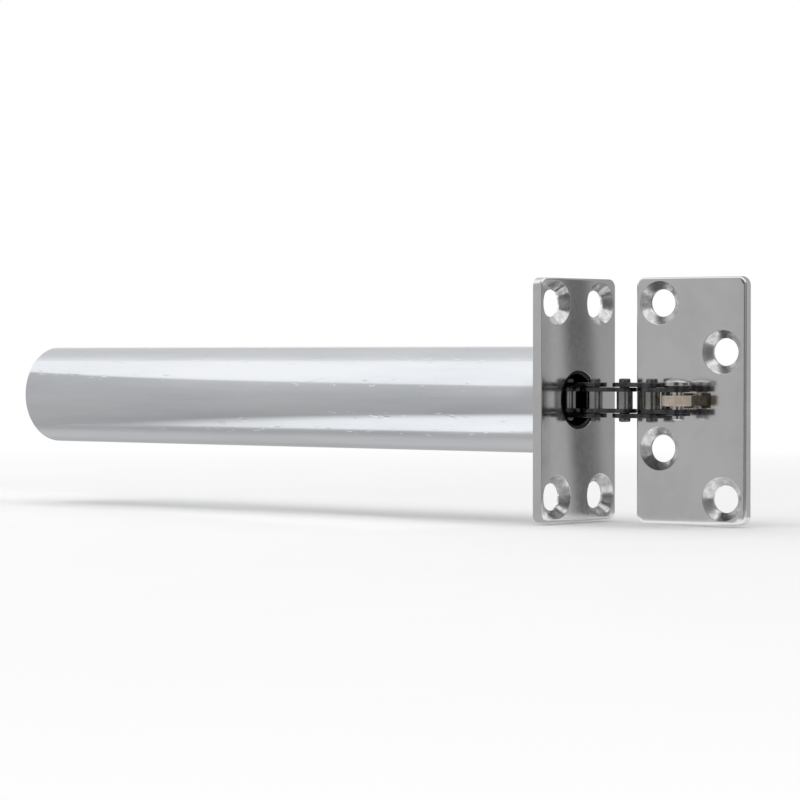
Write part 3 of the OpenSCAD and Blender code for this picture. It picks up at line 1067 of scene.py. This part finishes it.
@dataclass
class Chain:
    """The bush chain: four free links and the tail that the draw rod pulls."""

    finishes: Finishes
    waist: float = 4.6 * MM
    end_steps: int = 28
    waist_steps: int = 10
    edge: float = 0.16 * MM
    edge_steps: int = 4
    hole_facets: int = 48
    pin_radius: float = 1.15 * MM
    pin_facets: int = 40
    rivet_radius: float = 1.35 * MM
    rivet_round: float = 0.42 * MM
    dimple_rim: float = 0.62 * MM
    dimple_foot: float = 0.45 * MM
    dimple_step: float = 0.07 * MM
    dimple_depth: float = 0.1 * MM
    bush_steps: int = 60
    seam_width: float = 0.3 * MM
    seam_depth: float = 0.22 * MM
    seam_angle: float = -0.87
    washer_seat_round: float = 0.1 * MM
    washer_face_round: float = 0.16 * MM
    pins: list[Vector] = field(init=False)
    pitch: float = field(init=False)
    inner: Point = field(init=False)
    outer: Point = field(init=False)
    pin_top: float = field(init=False)
    end_radius: float = field(init=False)
    bush_radius: float = field(init=False)
    washer_top: float = field(init=False)

    def __post_init__(self) -> None:
        """Reads the pins and the chain's stack from the frame."""
        names = ("link_1_pivot", "link_2_pivot", "link_3_pivot", "end_link_pivot", "tongue_pivot")
        self.pins = [Vector(joint(name)["pos_m"]) for name in names]
        self.pitch = (self.pins[1] - self.pins[0]).length
        inner_low, inner_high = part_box("link_2_upper_plate")
        outer_low, outer_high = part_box("link_1_upper_plate")
        self.inner = (inner_low.z, inner_high.z)
        self.outer = (outer_low.z, outer_high.z)
        self.pin_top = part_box("link_1_pins")[1].z
        self.end_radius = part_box("tail_inner_plates")[1].y
        self.bush_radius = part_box("tail_bushes")[1].y
        self.washer_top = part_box("end_link_washers")[1].z

    def outline(self) -> Loop:
        """Outline of a link plate, with round ends and a round waist that meets them.

        Returns:
            The points, anticlockwise, from the first pin at the origin to the second on +X.
        """
        end = self.end_radius
        half = self.waist / 2
        middle = self.pitch / 2
        hollow = (middle ** 2 + half ** 2 - end ** 2) / (2 * (end - half))
        rise = half + hollow
        lean = math.atan2(rise, -middle)
        sweep = math.atan2(middle, rise)
        down = -math.pi / 2
        points = arc((self.pitch, 0.0), end, -lean, lean, self.end_steps)
        points += arc((middle, rise), hollow, down + sweep, down - sweep, self.waist_steps)[1:-1]
        points += arc((0.0, 0.0), end, math.pi - lean, math.pi + lean, self.end_steps)
        points += arc((middle, -rise), hollow, -down + sweep, -down - sweep, self.waist_steps)[1:-1]
        return points

    def add_plate(self, bm: Mesh, at: Vector, angle: float, levels: Point, holes: Point, side: Side) -> None:
        """Adds one link plate.

        Args:
            bm: mesh to add to.
            at: the link's first pin.
            angle: direction of the link.
            levels: inner and outer height of an upper plate.
            holes: radius of the first and the second hole.
            side: upper or lower plate.
        """
        low, high = levels
        if side is Side.LOWER:
            low, high = -high, -low
        sides = edge_rings(self.outline(), low, high, self.edge, self.edge, self.edge_steps)
        bores = [
            round_hole((x, 0.0), [(radius, high), (radius, low)], self.hole_facets)
            for x, radius in zip((0.0, self.pitch), holes)
        ]
        add_slab(bm, sides, bores, upright(at, angle))

    def add_pin(self, bm: Mesh, at: Vector) -> None:
        """Adds a pin with a rolled rivet head and a small spun dimple at both ends.

        Args:
            bm: mesh to add to.
            at: the pin's place.
        """
        top = self.pin_top
        shoulder = self.outer[1]
        rivet = self.rivet_radius
        head = [
            (self.pin_radius, shoulder), (rivet, shoulder),
            *rounded_corner((rivet, top), (rivet, shoulder), (0.0, top), self.rivet_round),
            (self.dimple_rim, top), (self.dimple_foot, top - self.dimple_step),
            (0.0, top - self.dimple_depth),
        ]
        profile = [(radius, -height) for radius, height in reversed(head)] + head
        add_lathe(bm, profile, self.pin_facets, upright(at))

    def add_bush(self, bm: Mesh, at: Vector) -> None:
        """Adds a rolled bush with its seam, flush with the inner plates.

        Args:
            bm: mesh to add to.
            at: the bush's place.
        """
        half_seam = self.seam_width / 2
        seam = math.asin(half_seam / self.bush_radius)
        outline = arc((0, 0), self.bush_radius, seam, math.tau - seam, self.bush_steps)
        depth = self.bush_radius - self.seam_depth
        outline += [(depth, -half_seam), (depth, half_seam)]
        height = self.inner[1]
        bore = self.pin_radius + BORE_CLEARANCE
        hole = round_hole((0, 0), [(bore, height), (bore, -height)], self.pin_facets)
        add_slab(bm, [(outline, -height), (outline, height)], [hole], upright(at, self.seam_angle))

    def add_washers(self, bm: Mesh, at: Vector) -> None:
        """Adds the two washers at the anchor pin.

        Args:
            bm: mesh to add to.
            at: the pin's place.
        """
        radius = self.end_radius
        hole = ANCHOR_PIN_RADIUS
        for side in Side:
            seat = side.value * self.inner[1]
            face = side.value * self.washer_top
            profile = soft_profile(
                [(hole, seat), (radius, seat), (radius, face), (hole, face)],
                [0.0, self.washer_seat_round, self.washer_face_round, 0.0])
            add_lathe(bm, profile, self.hole_facets, upright(at), closed=True)

    def plates(self, link: str, kind: LinkKind, start: Vector, angle: float) -> None:
        """Makes the two plates of a free link as two pieces.

        Args:
            link: name of the link and of its body.
            kind: how the link is made.
            start: its first pin.
            angle: its direction.
        """
        holes = {
            LinkKind.OUTER: (self.pin_radius, self.pin_radius),
            LinkKind.INNER: (self.bush_radius, self.bush_radius),
            LinkKind.END: (self.bush_radius, ANCHOR_PIN_RADIUS),
        }[kind]
        levels = self.outer if kind is LinkKind.OUTER else self.inner
        for side in Side:
            bm = bmesh.new()
            self.add_plate(bm, start, angle, levels, holes, side)
            make_piece(f"{link}_{side.name.lower()}_plate", "blanked", bm, self.finishes.plate, link)

    def group(self, node: str, body: str, finish: Finish, add: Adder, places: Iterable[Vector]) -> None:
        """Makes one piece from several like solids, such as the pins of a link.

        Args:
            node: CAD node that the piece stands for.
            body: body that it rides on.
            finish: its material.
            add: method that adds one solid.
            places: where the solids go.
        """
        bm = bmesh.new()
        for place in places:
            add(bm, place)
        make_piece(node, "turned", bm, finish, body)

    def free_links(self) -> None:
        """Makes the four links between the mouth and the anchor."""
        links = {
            "link_1": LinkKind.OUTER,
            "link_2": LinkKind.INNER,
            "link_3": LinkKind.OUTER,
            "end_link": LinkKind.END,
        }
        for (link, kind), start, end in zip(links.items(), self.pins, self.pins[1:]):
            angle = math.atan2(end.y - start.y, end.x - start.x)
            self.plates(link, kind, start, angle)
            if kind is LinkKind.OUTER:
                self.group(f"{link}_pins", link, self.finishes.rivet, self.add_pin, (start, end))
            elif kind is LinkKind.INNER:
                self.group(f"{link}_bushes", link, self.finishes.roller, self.add_bush, (start, end))
            else:
                self.group(f"{link}_bush", link, self.finishes.roller, self.add_bush, (start,))
                self.group(f"{link}_washers", link, self.finishes.plate, self.add_washers, (end,))

    def tail(self) -> None:
        """Makes the chain's tail inside the tube, from the mouth to the draw rod's eye."""
        body = "chain_tail"
        first = self.pins[0]
        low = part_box("tail_pins")[0].x + self.rivet_radius
        count = round((first.x - low) / self.pitch)
        places = [Vector((first.x - k * self.pitch, 0, 0)) for k in range(count + 1)]
        rows = (
            ("tail_inner_plates", places[1::2], self.inner, self.bush_radius),
            ("tail_outer_plates", places[2::2], self.outer, self.pin_radius),
        )
        for node, starts, levels, radius in rows:
            bm = bmesh.new()
            for start in starts:
                for side in Side:
                    self.add_plate(bm, start, 0.0, levels, (radius, radius), side)
            make_piece(node, "blanked", bm, self.finishes.plate, body)
        self.group("tail_bushes", body, self.finishes.roller, self.add_bush, places[:-1])
        self.group("tail_pins", body, self.finishes.rivet, self.add_pin, places[1:])

    def build(self) -> None:
        """Makes every piece of the chain."""
        self.free_links()
        self.tail()


@dataclass
class Anchor:
    """The anchor pin, tongue, cross pin and frame plate."""

    finishes: Finishes
    pin_rim: float = 0.95 * MM
    pin_chamfer: float = 0.3 * MM
    pin_seat_chamfer: float = 0.08 * MM
    pin_shoulder_round: float = 0.4 * MM
    pin_facets: int = 64
    dome_steps: int = 14
    dome_shoulder_step: int = 4
    tongue_width: float = 5.8 * MM
    tongue_thickness: float = 2.4 * MM
    eye_radius: float = 3.6 * MM
    eye_steps: int = 40
    eye_lip: float = 0.15 * MM
    eye_facets: int = 48
    tail_length: float = 2.8 * MM
    head_back: float = 0.5 * MM
    head_width: float = 9.6 * MM
    head_corner: float = 0.5 * MM
    head_corner_steps: int = 6
    edge: float = 0.22 * MM
    edge_steps: int = 5
    # how far before the head the tongue's painted shade starts
    shade_margin: float = 0.05 * MM
    face_margin: float = 0.001 * MM
    cross_pin_round: float = 0.3 * MM
    cross_pin_facets: int = 40
    screw_columns: float = 16.4 * MM
    slot_width: float = 10.4 * MM
    slot_height: float = 3.4 * MM
    slot_corner: float = 0.25 * MM
    slot_corner_steps: int = 4
    slot_lip: float = 0.12 * MM
    eye: Vector = field(init=False)
    cross: Vector = field(init=False)
    cross_radius: float = field(init=False)

    def __post_init__(self) -> None:
        """Reads the tongue's two pins from the frame."""
        self.eye = Vector(joint("tongue_pivot")["pos_m"])
        self.cross = Vector(joint("anchor_plate_rock")["pos_m"])
        low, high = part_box("tongue_cross_pin")
        self.cross_radius = (high.x - low.x) / 2

    def pin(self) -> None:
        """Makes the anchor pin with its domed head."""
        low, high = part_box("anchor_pin")
        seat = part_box("end_link_washers")[1].z
        radius = ANCHOR_PIN_RADIUS
        head = (high.x - low.x) / 2
        rise = high.z - seat - self.pin_rim
        dome = (head ** 2 + rise ** 2) / (2 * rise)
        lean = math.asin(head / dome)
        crown = arc((0.0, high.z - dome), dome, math.pi / 2 - lean, math.pi / 2, self.dome_steps)
        joins = self.dome_shoulder_step
        foot = self.pin_chamfer
        cut = self.pin_seat_chamfer
        profile = [
            (0.0, low.z), (radius - foot, low.z), (radius, low.z + foot),
            (radius, seat), (head - cut, seat), (head, seat + cut),
            *rounded_corner(crown[0], (head, seat), crown[joins], self.pin_shoulder_round),
            *crown[joins:-1], (0.0, high.z),
        ]
        bm = turned(profile, self.pin_facets, upright(self.eye))
        make_piece("anchor_pin", "domed", bm, self.finishes.pin_plating, "end_link")

    def tongue(self) -> None:
        """Makes the tongue with its round eye, the hole of the cross pin and the head behind the plate."""
        low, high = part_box("anchor_tongue")
        run = self.cross - self.eye
        length = run.length
        half = self.tongue_width / 2
        flat = self.tongue_thickness / 2
        lean = math.asin(half / self.eye_radius)
        head_middle = length + (self.head_back + self.tail_length) / 2
        outline = arc((0, 0), self.eye_radius, lean, math.tau - lean, self.eye_steps)
        outline += [(head_middle, -half), (head_middle, half)]
        bore = ANCHOR_PIN_RADIUS + BORE_CLEARANCE
        lip = self.eye_lip
        eye_hole = [(bore + lip, flat), (bore, flat - lip), (bore, lip - flat), (bore + lip, -flat)]
        cross_hole = [(self.cross_radius, flat), (self.cross_radius, -flat)]
        holes = [
            round_hole((0, 0), eye_hole, self.eye_facets),
            round_hole((length, 0), cross_hole, self.cross_pin_facets),
        ]
        place = upright(self.eye, math.atan2(run.y, run.x))
        bm = bmesh.new()
        add_slab(bm, edge_rings(outline, -flat, flat, self.edge, self.edge, self.edge_steps), holes, place)
        block = rounded_rectangle(
            self.tail_length - self.head_back, self.head_width, self.head_corner, self.head_corner_steps)
        head_place = place @ Matrix.Translation((head_middle, 0, 0))
        add_slab(bm, edge_rings(block, low.z, high.z, self.edge, self.edge, self.edge_steps), [], head_place)
        # Painted shade: the head behind the plate and the side wall towards -Y take a dark brass colour in place
        # of the shadow in the slot.
        shade_start = length + self.head_back - self.shade_margin
        flank = flat - self.face_margin

        def in_painted_shade(point: Vector) -> bool:
            """Whether a point in the tongue's own frame is on its head or on the side wall towards -Y, where the
            painted shade goes.
            """
            return point.x > shade_start or (point.x > 0 > point.y and abs(point.z) < flank)

        mark_faces(bm, place, in_painted_shade)
        shade_finish = self.finishes.tongue_painted_shade
        make_piece("anchor_tongue", "pressed", bm, self.finishes.tongue, "tongue", shade_finish)

    def cross_pin(self) -> None:
        """Makes the cross pin that keeps the tongue behind the plate."""
        low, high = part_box("tongue_cross_pin")
        radius = self.cross_radius
        profile = [
            (0.0, low.z),
            *rounded_corner((radius, low.z), (0.0, low.z), (radius, high.z), self.cross_pin_round),
            *rounded_corner((radius, high.z), (radius, low.z), (0.0, high.z), self.cross_pin_round),
            (0.0, high.z),
        ]
        bm = turned(profile, self.cross_pin_facets, upright(self.cross))
        make_piece("tongue_cross_pin", "turned", bm, self.finishes.pin_plating, "tongue")

    def plate(self) -> None:
        """Makes the frame plate from its screw circles and the body plate's size."""
        outer = mount("anchor_plate_outer_screws")
        inner = mount("anchor_plate_inner_screws")
        body_low, body_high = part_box("body_plate")
        column = self.screw_columns / 2
        screws: list[Point] = []
        for pattern, sign in ((outer, -1), (inner, 1)):
            row = math.sqrt((pattern["dims"]["pcd_mm"] / 2 * MM) ** 2 - column ** 2)
            screws += [(sign * column, row), (-sign * column, -row)]
        thickness = body_high.x - body_low.x
        slot = rounded_rectangle(self.slot_width, self.slot_height, self.slot_corner, self.slot_corner_steps)
        lip = self.slot_lip
        wide = moved(slot, -lip)
        opening = [(wide, thickness), (slot, thickness - lip), (slot, lip), (wide, 0.0)]
        plate = ScrewPlate(
            "anchor_plate", "anchor", body_high.y - body_low.y, body_high.z - body_low.z, thickness,
            screws, outer["dims"]["hole_r_mm"] * MM, opening,
            facing(Vector(outer["axis"]).normalized(), Vector(outer["pos_m"])))
        plate.build(self.finishes.chrome, self.finishes.sink)

    def build(self) -> None:
        """Makes every piece of the anchor."""
        self.pin()
        self.tongue()
        self.cross_pin()
        self.plate()


@dataclass
class Mechanism:
    """What works inside the tube: the spring as a smooth coil, and the turned pieces with their finishes."""

    finishes: Finishes
    wire: float = 2.2 * MM
    turns: int = 22
    end_gap: float = 0.6 * MM
    steps: int = 36
    sides: int = 12

    def spring(self) -> None:
        """Makes the coil spring over the length of the solid's box."""
        low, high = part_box("main_spring")
        half = self.wire / 2
        radius = high.y - half
        closed = self.wire + self.end_gap
        free = (high.x - low.x - self.wire - 2 * closed) / (self.turns - 2)
        section = circle(half, self.sides)
        bm = bmesh.new()
        rings = []
        for k in range(self.turns * self.steps + 1):
            turn = k / self.steps
            x = low.x + half + closed * min(turn, 1)
            x += free * max(0.0, min(turn, self.turns - 1) - 1) + closed * max(0.0, turn - self.turns + 1)
            a = math.tau * turn
            ring = []
            for out, along in section:
                reach = radius + out
                ring.append(bm.verts.new((x + along, reach * math.cos(a), reach * math.sin(a))))
            rings.append(ring)
        add_wall(bm, rings)
        bm.faces.new(rings[0])
        bm.faces.new(rings[-1])
        piece = make_piece("main_spring", "wound", bm, self.finishes.spring, "housing")
        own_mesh(piece)

    def dress(self, node: str, finish: Finish) -> None:
        """Gives a CAD node, which keeps its shape, a finish.

        Args:
            node: the node's name.
            finish: its material.
        """
        shown = frame["nodes"][node]
        shown.data.materials.clear()
        shown.data.materials.append(finish.material())
        log.info("node %s takes %s", node, finish.name)

    def build(self) -> None:
        """Makes the spring and dresses the inner pieces."""
        self.spring()
        for node in ("piston", "thrust_washer", "adjusting_nut", "draw_rod", "stop_nut"):
            self.dress(node, self.finishes.inner)
        self.dress("return_buffer", self.finishes.rubber)
        self.dress("piston_ring", self.finishes.nylon)


# Studio


@dataclass(frozen=True)
class Card:
    """A grey card beside the object, which only gloss sees. Lengths are millimetres.

    Attributes:
        name: name of the card.
        corner: its first corner.
        along: its first edge.
        up: its second edge.
        tones: stops of place and grey, from 0 to 1.
        lengthwise: whether the stops run along the first edge, and otherwise along the second.
        turn: degrees about X, Y and Z, with the first corner kept in its place.
        fade: stops of place and strength along the other edge, for a card that dims there.
    """

    name: str
    corner: Point3
    along: Point3
    up: Point3
    tones: Stops
    lengthwise: bool = False
    turn: Point3 = (0.0, 0.0, 0.0)
    fade: Stops = ()

    def material(self) -> bpy.types.Material:
        """Glow that follows the card's stops.

        Returns:
            The new material.
        """
        graph = MaterialGraph(f"{self.name}_grey")
        split = graph.node("SeparateXYZ")
        graph.link(graph.coordinates.outputs["Generated"], split, "Vector")
        glow = graph.node("Emission")
        edges = (self.along, self.up) if self.lengthwise else (self.up, self.along)
        for edge, stops, socket in zip(edges, (self.tones, self.fade), ("Color", "Strength")):
            if stops:
                axis = max(range(3), key=lambda k: abs(edge[k]))
                greys = graph.blend(split.outputs[axis], [(place, (tone,) * 3) for place, tone in stops])
                graph.link(greys, glow, socket)
        graph.link(glow.outputs["Emission"], graph.output, "Surface")
        return graph.material

    def build(self) -> None:
        """Sets the card in its place."""
        first = Vector(self.along) * MM
        second = Vector(self.up) * MM
        mesh = bpy.data.meshes.new(self.name)
        mesh.from_pydata([Vector(), first, first + second, second], [], [(0, 1, 2, 3)])
        mesh.materials.append(self.material())
        card = show(self.name, mesh)
        card.location = Vector(self.corner) * MM
        card.rotation_euler = [math.radians(angle) for angle in self.turn]
        card.visible_camera = False
        card.visible_diffuse = False
        card.visible_transmission = False
        card.visible_shadow = False
        card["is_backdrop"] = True


@dataclass
class Studio:
    """White studio: floor, soft lamp, grey cards, and the camera at the photograph's angle."""

    camera_place: Point3 = (461.68 * MM, -593.28 * MM, 10.24 * MM)
    azimuth: float = 40.95
    elevation: float = 0.787
    lens: float = 143.54
    sensor: float = 36.0
    nearest: float = 0.01
    furthest: float = 50.0
    floor_half: float = 6.0
    floor_cells: int = 8
    floor_gap: float = 0.5 * MM
    floor_greys: Point = (0.95, 0.98)
    floor_rough: float = 0.9
    shadow_reach: Point = (0.16, 0.55)
    light: float = 0.42
    lamp_place: Point3 = (-0.5, -0.35, 1.0)
    lamp_size: Point = (2.2, 1.8)
    lamp_power: float = 14.3
    card_foot: float = -29.0
    card_height: float = 89.0

    def camera(self) -> None:
        """Makes the camera and makes it the scene's own."""
        a = math.radians(self.azimuth)
        e = math.radians(self.elevation)
        back = Vector((math.sin(a) * math.cos(e), -math.cos(a) * math.cos(e), math.sin(e)))
        data = bpy.data.cameras.new("camera")
        data.lens = self.lens
        data.sensor_width = self.sensor
        data.clip_start = self.nearest
        data.clip_end = self.furthest
        camera = show("camera", data)
        camera.location = self.camera_place
        camera.rotation_mode = "QUATERNION"
        camera.rotation_quaternion = (-back).to_track_quat("-Z", "Y")
        bpy.context.scene.camera = camera

    def world(self) -> None:
        """Makes the white surroundings that are seen, and the softer light that they give."""
        world = bpy.data.worlds.new("studio")
        bpy.context.scene.world = world
        world.use_nodes = True
        graph = NodeGraph(world.node_tree)
        white = (1, 1, 1, 1)
        lit = graph.node("Background", color=white, strength=self.light)
        seen = graph.node("Background", color=white)
        both = graph.mix(graph.seen_directly(), lit.outputs["Background"], seen.outputs["Background"])
        graph.link(both, graph.node("OutputWorld"), "Surface")

    def floor(self) -> None:
        """Makes the pale floor, which fades to white away from the object."""
        low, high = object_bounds()
        cells = self.floor_cells
        bm = bmesh.new()
        bmesh.ops.create_grid(bm, x_segments=cells, y_segments=cells, size=self.floor_half)
        mesh = bpy.data.meshes.new("floor")
        bm.to_mesh(mesh)
        bm.free()
        mesh.materials.append(self.floor_material())
        floor = show("floor", mesh)
        floor.location = ((low.x + high.x) / 2, (low.y + high.y) / 2, low.z - self.floor_gap)
        floor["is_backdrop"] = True

    def floor_material(self) -> bpy.types.Material:
        """White floor that keeps a shadow near the object and is plain white further off.

        Returns:
            The new material.
        """
        graph = MaterialGraph("floor_white", roughness=self.floor_rough)
        dim, bright = self.floor_greys
        graph.feed("Base Color", graph.blend(graph.noise(30, 2), [(0.0, (dim,) * 3), (1.0, (bright,) * 3)]))
        distance = graph.node("VectorMath")
        distance.operation = "LENGTH"
        graph.link(graph.coordinates.outputs["Object"], distance, 0)
        fade = graph.span(distance.outputs["Value"], 0.0, 1.0, *self.shadow_reach)
        share = graph.join("MULTIPLY", fade, graph.seen_directly())
        white = graph.node("Emission")
        both = graph.mix(share, graph.shader.outputs["BSDF"], white.outputs["Emission"])
        graph.link(both, graph.output, "Surface")
        return graph.material

    def cards(self) -> list[Card]:
        """Cards that give the plating its dark and light bands.

        Returns:
            The cards beside the tube, round the plates, on the floor by the plates, and above.
        """
        low = self.card_foot
        tall = (0, 0, self.card_height)
        return [
            Card("tube_card", (-215, -3, low - 15.7), (175, -52, 15.7), (0, -8.4, 60), [
                (0.0, 0.37), (0.2, 0.385), (0.33, 0.405), (0.59, 0.462), (0.67, 0.49), (0.75, 0.525),
                (1.0, 0.57)]),
            # shade_card: painted shadow of the tube on the floor, darkest just in front of the tube, seen only in
            # reflections
            Card("shade_card", (-300, -15, low + 0.2), (295, 0, 0), (0, 135, 0), [
                (0.0, 0.50), (0.03, 0.40), (0.087, 0.52), (0.15, 0.53), (0.243, 0.45), (1.0, 0.48)]),
            # heel_card: painted shade on the floor, darker towards the tube's far end and at the foot of
            # tube_card, seen only in reflections
            Card("heel_card", (-260, 7.6, low + 0.1), (254.7, 0, 0), (0, 41, 0), [
                (0.0, 0.60), (0.357, 0.66), (0.424, 0.72), (0.495, 0.83), (0.565, 0.90), (0.631, 0.95),
                (0.706, 0.99), (0.896, 1.0)], True, (0, 0, -15.9), [
                    (0.0, 0.55), (0.1, 0.70), (0.25, 0.95), (0.4, 1.0)]),
            Card("corner_card", (-40, -55, low), (26, 25, 0), tall, [(0.0, 0.43), (1.0, 0.47)]),
            Card("plate_card", (-14, -30, low), (47, 0, 0), tall, [(0.0, 0.41), (1.0, 0.43)]),
            Card("dark_card", (33, -30, low), (29, -2, 0), tall, [(0.0, 0.06), (1.0, 0.08)]),
            Card("side_card", (62, -32, low), (48, 32, 0), tall, [
                (0.0, 0.40), (0.54, 0.40), (0.6, 0.10), (1.0, 0.10)], True),
            Card("right_card", (110, 0, low), (0, 70, 0), tall, [(0.0, 0.11), (1.0, 0.13)]),
            Card("back_card", (4, 30, low), (56, 0, 0), tall, [
                (0.0, 0.33), (0.22, 0.33), (0.28, 0.14), (0.38, 0.11), (0.43, 0.39), (1.0, 0.40)],
                True, (0, 4.6, 0)),
            Card("far_card", (-30, 30.2, low), (44, 0, 0), tall, [
                (0.0, 0.42), (0.77, 0.33), (1.0, 0.33)], True),
            Card("foot_card", (-14, -30, low + 0.2), (60, 0, 0), (0, 28, 0), [(0.0, 0.42), (1.0, 0.42)]),
            Card("apron_card", (8, -8, low + 0.3), (40, 0, 0), (0, 15, 0), [(0.0, 0.88), (1.0, 0.88)]),
            Card("top_card", (-640, 60, 42), (620, 0, 0), (0, 0, 480), [
                (0.0, 0.62), (0.14, 0.655), (0.7, 0.73), (1.0, 0.76)]),
            Card("sky_card", (-900, 0, 522), (900, 0, 0), (0, 60, 0), [(0.0, 0.77), (1.0, 0.76)]),
        ]

    def lamp(self) -> None:
        """Makes the soft rectangular lamp, which faces down and shows in no reflection."""
        data = bpy.data.lights.new("overhead", "AREA")
        data.shape = "RECTANGLE"
        data.size, data.size_y = self.lamp_size
        data.energy = self.lamp_power
        lamp = show("overhead", data)
        lamp.location = self.lamp_place
        lamp.rotation_mode = "QUATERNION"
        lamp.rotation_quaternion = Vector((0, 0, -1)).to_track_quat("-Z", "Y")
        lamp.visible_camera = False
        lamp.visible_glossy = False

    def build(self) -> None:
        """Makes the camera, surroundings, floor, cards and lamp."""
        bpy.context.scene.view_settings.view_transform = "Standard"
        self.camera()
        self.world()
        self.floor()
        for card in self.cards():
            card.build()
        self.lamp()


def main() -> None:
    """Builds the closer's pieces in order, then the studio."""
    logging.basicConfig(level=logging.INFO, format="%(message)s")
    finishes = Finishes()
    for assembly in (Housing(finishes), Chain(finishes), Anchor(finishes), Mechanism(finishes)):
        log.info("building %s", type(assembly).__name__)
        assembly.build()
    Studio().build()


if __name__ == "__main__":
    main()
